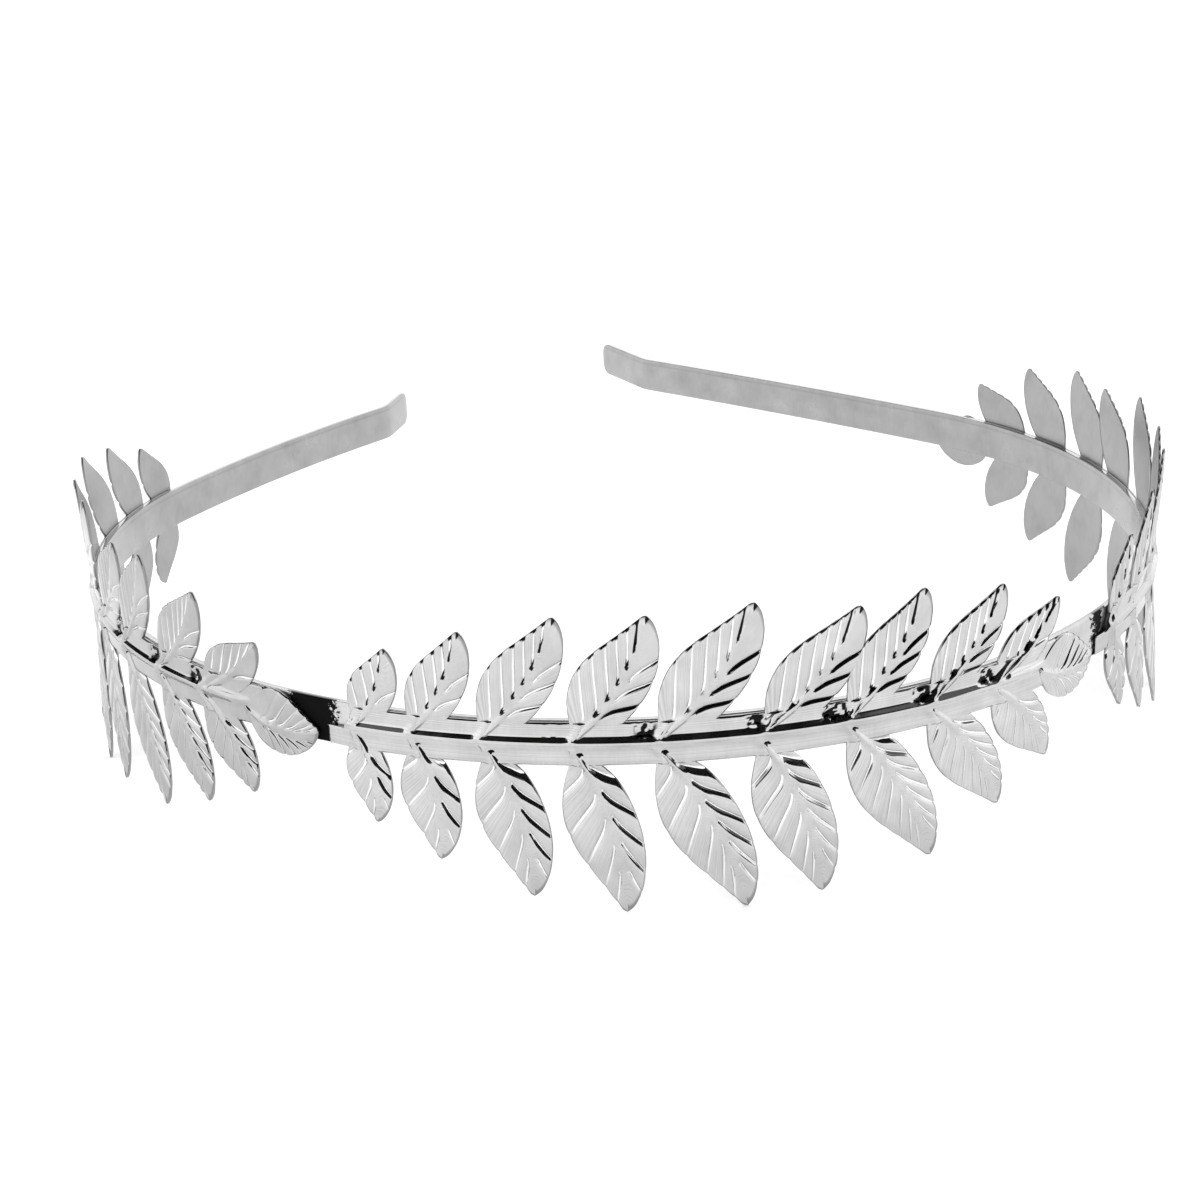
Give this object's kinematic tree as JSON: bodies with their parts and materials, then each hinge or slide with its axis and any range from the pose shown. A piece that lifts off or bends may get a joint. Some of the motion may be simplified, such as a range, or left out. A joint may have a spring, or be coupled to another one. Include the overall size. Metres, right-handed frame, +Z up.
{
  "type": "laurel wreath crown",
  "caption": "Open-backed metal crown: a thin flat strip bent round the head with three laurel sprigs of creased leaves along its front and sides.",
  "frame": {"origin": "middle of the crown's outline seen from above, at the height of its lowest leaf tips", "axes": "+Z up, +Y from the middle of the front to the open back, +X to the right seen from the front"},
  "size_m": [0.1648, 0.1904, 0.0411],
  "materials": {
    "strip_metal": "smooth silver-toned plate",
    "leaf_metal": "bright polished silver-toned plate, dark in the creases"
  },
  "bodies": {
    "root": {"band": "strip_metal", "sprig_left": "leaf_metal", "sprig_front": "leaf_metal", "sprig_right": "leaf_metal"}
  },
  "joints": []
}
